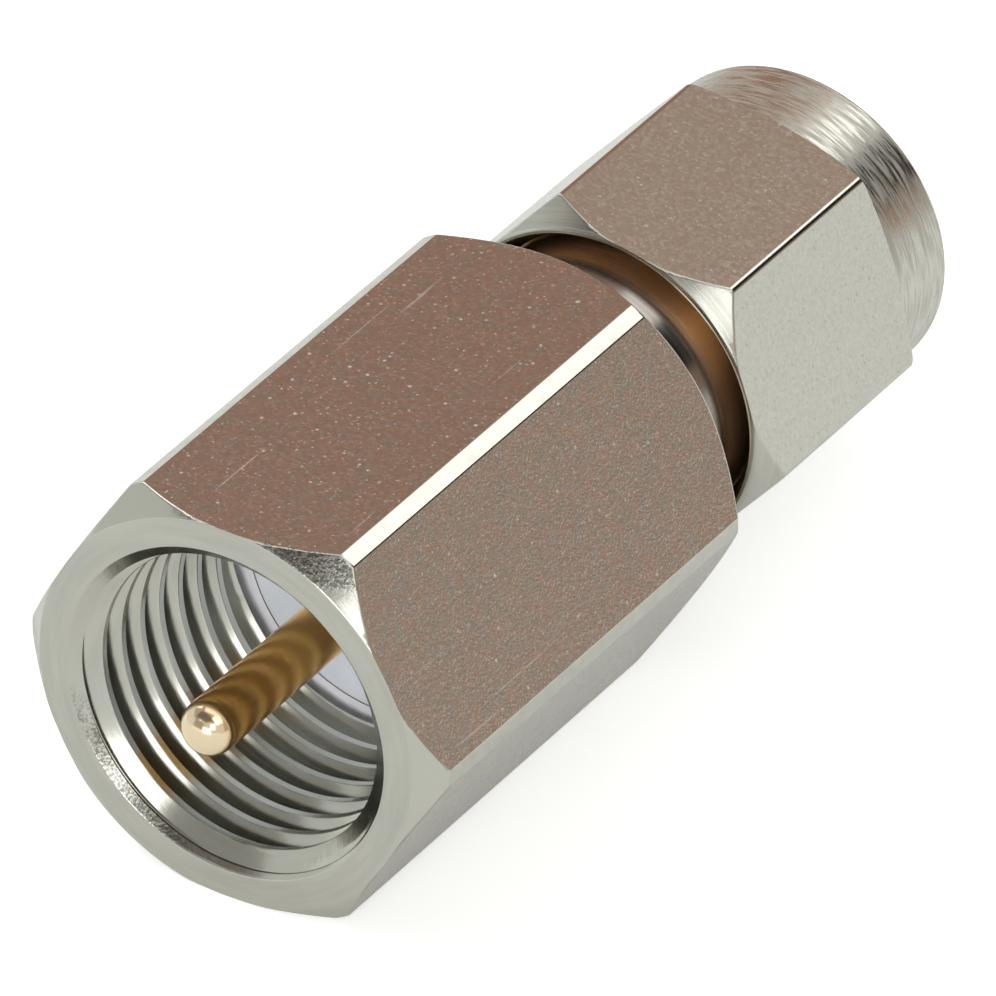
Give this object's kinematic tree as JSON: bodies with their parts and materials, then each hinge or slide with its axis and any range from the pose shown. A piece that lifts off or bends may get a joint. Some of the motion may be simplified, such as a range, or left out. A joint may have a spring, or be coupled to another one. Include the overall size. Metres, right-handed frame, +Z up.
{
  "type": "sma adapter connector",
  "caption": "Straight coaxial adapter: hexagon body with a threaded socket and centre pin at one end, and a free-turning hexagon coupling nut at the other.",
  "frame": {"origin": "centre of the FME mouth's face, on the axis", "axes": "+Y along the axis from the FME mouth to the SMA mouth, +Z up, out of the hexagon body's top flat"},
  "size_m": [0.0108, 0.0248, 0.0094],
  "materials": {
    "nickel_plate": "bright nickel plate on brass",
    "gold_plate": "gold plate on brass",
    "spring_bronze": "plain spring bronze",
    "silicone": "matt silicone rubber",
    "ptfe": "smooth white PTFE"
  },
  "bodies": {
    "adapter": {"adapter_body": "nickel_plate", "retaining_ring": "spring_bronze", "sealing_gasket": "silicone", "centre_contact": "gold_plate", "fme_insulator": "ptfe", "sma_insulator": "ptfe"},
    "nut": {"coupling_nut": "nickel_plate"}
  },
  "joints": [
    {"name": "nut_spin", "type": "hinge", "parent": "adapter", "child": "nut", "pos_m": [0, 0.019, 0], "axis": [0, 1, 0], "continuous": true}
  ]
}
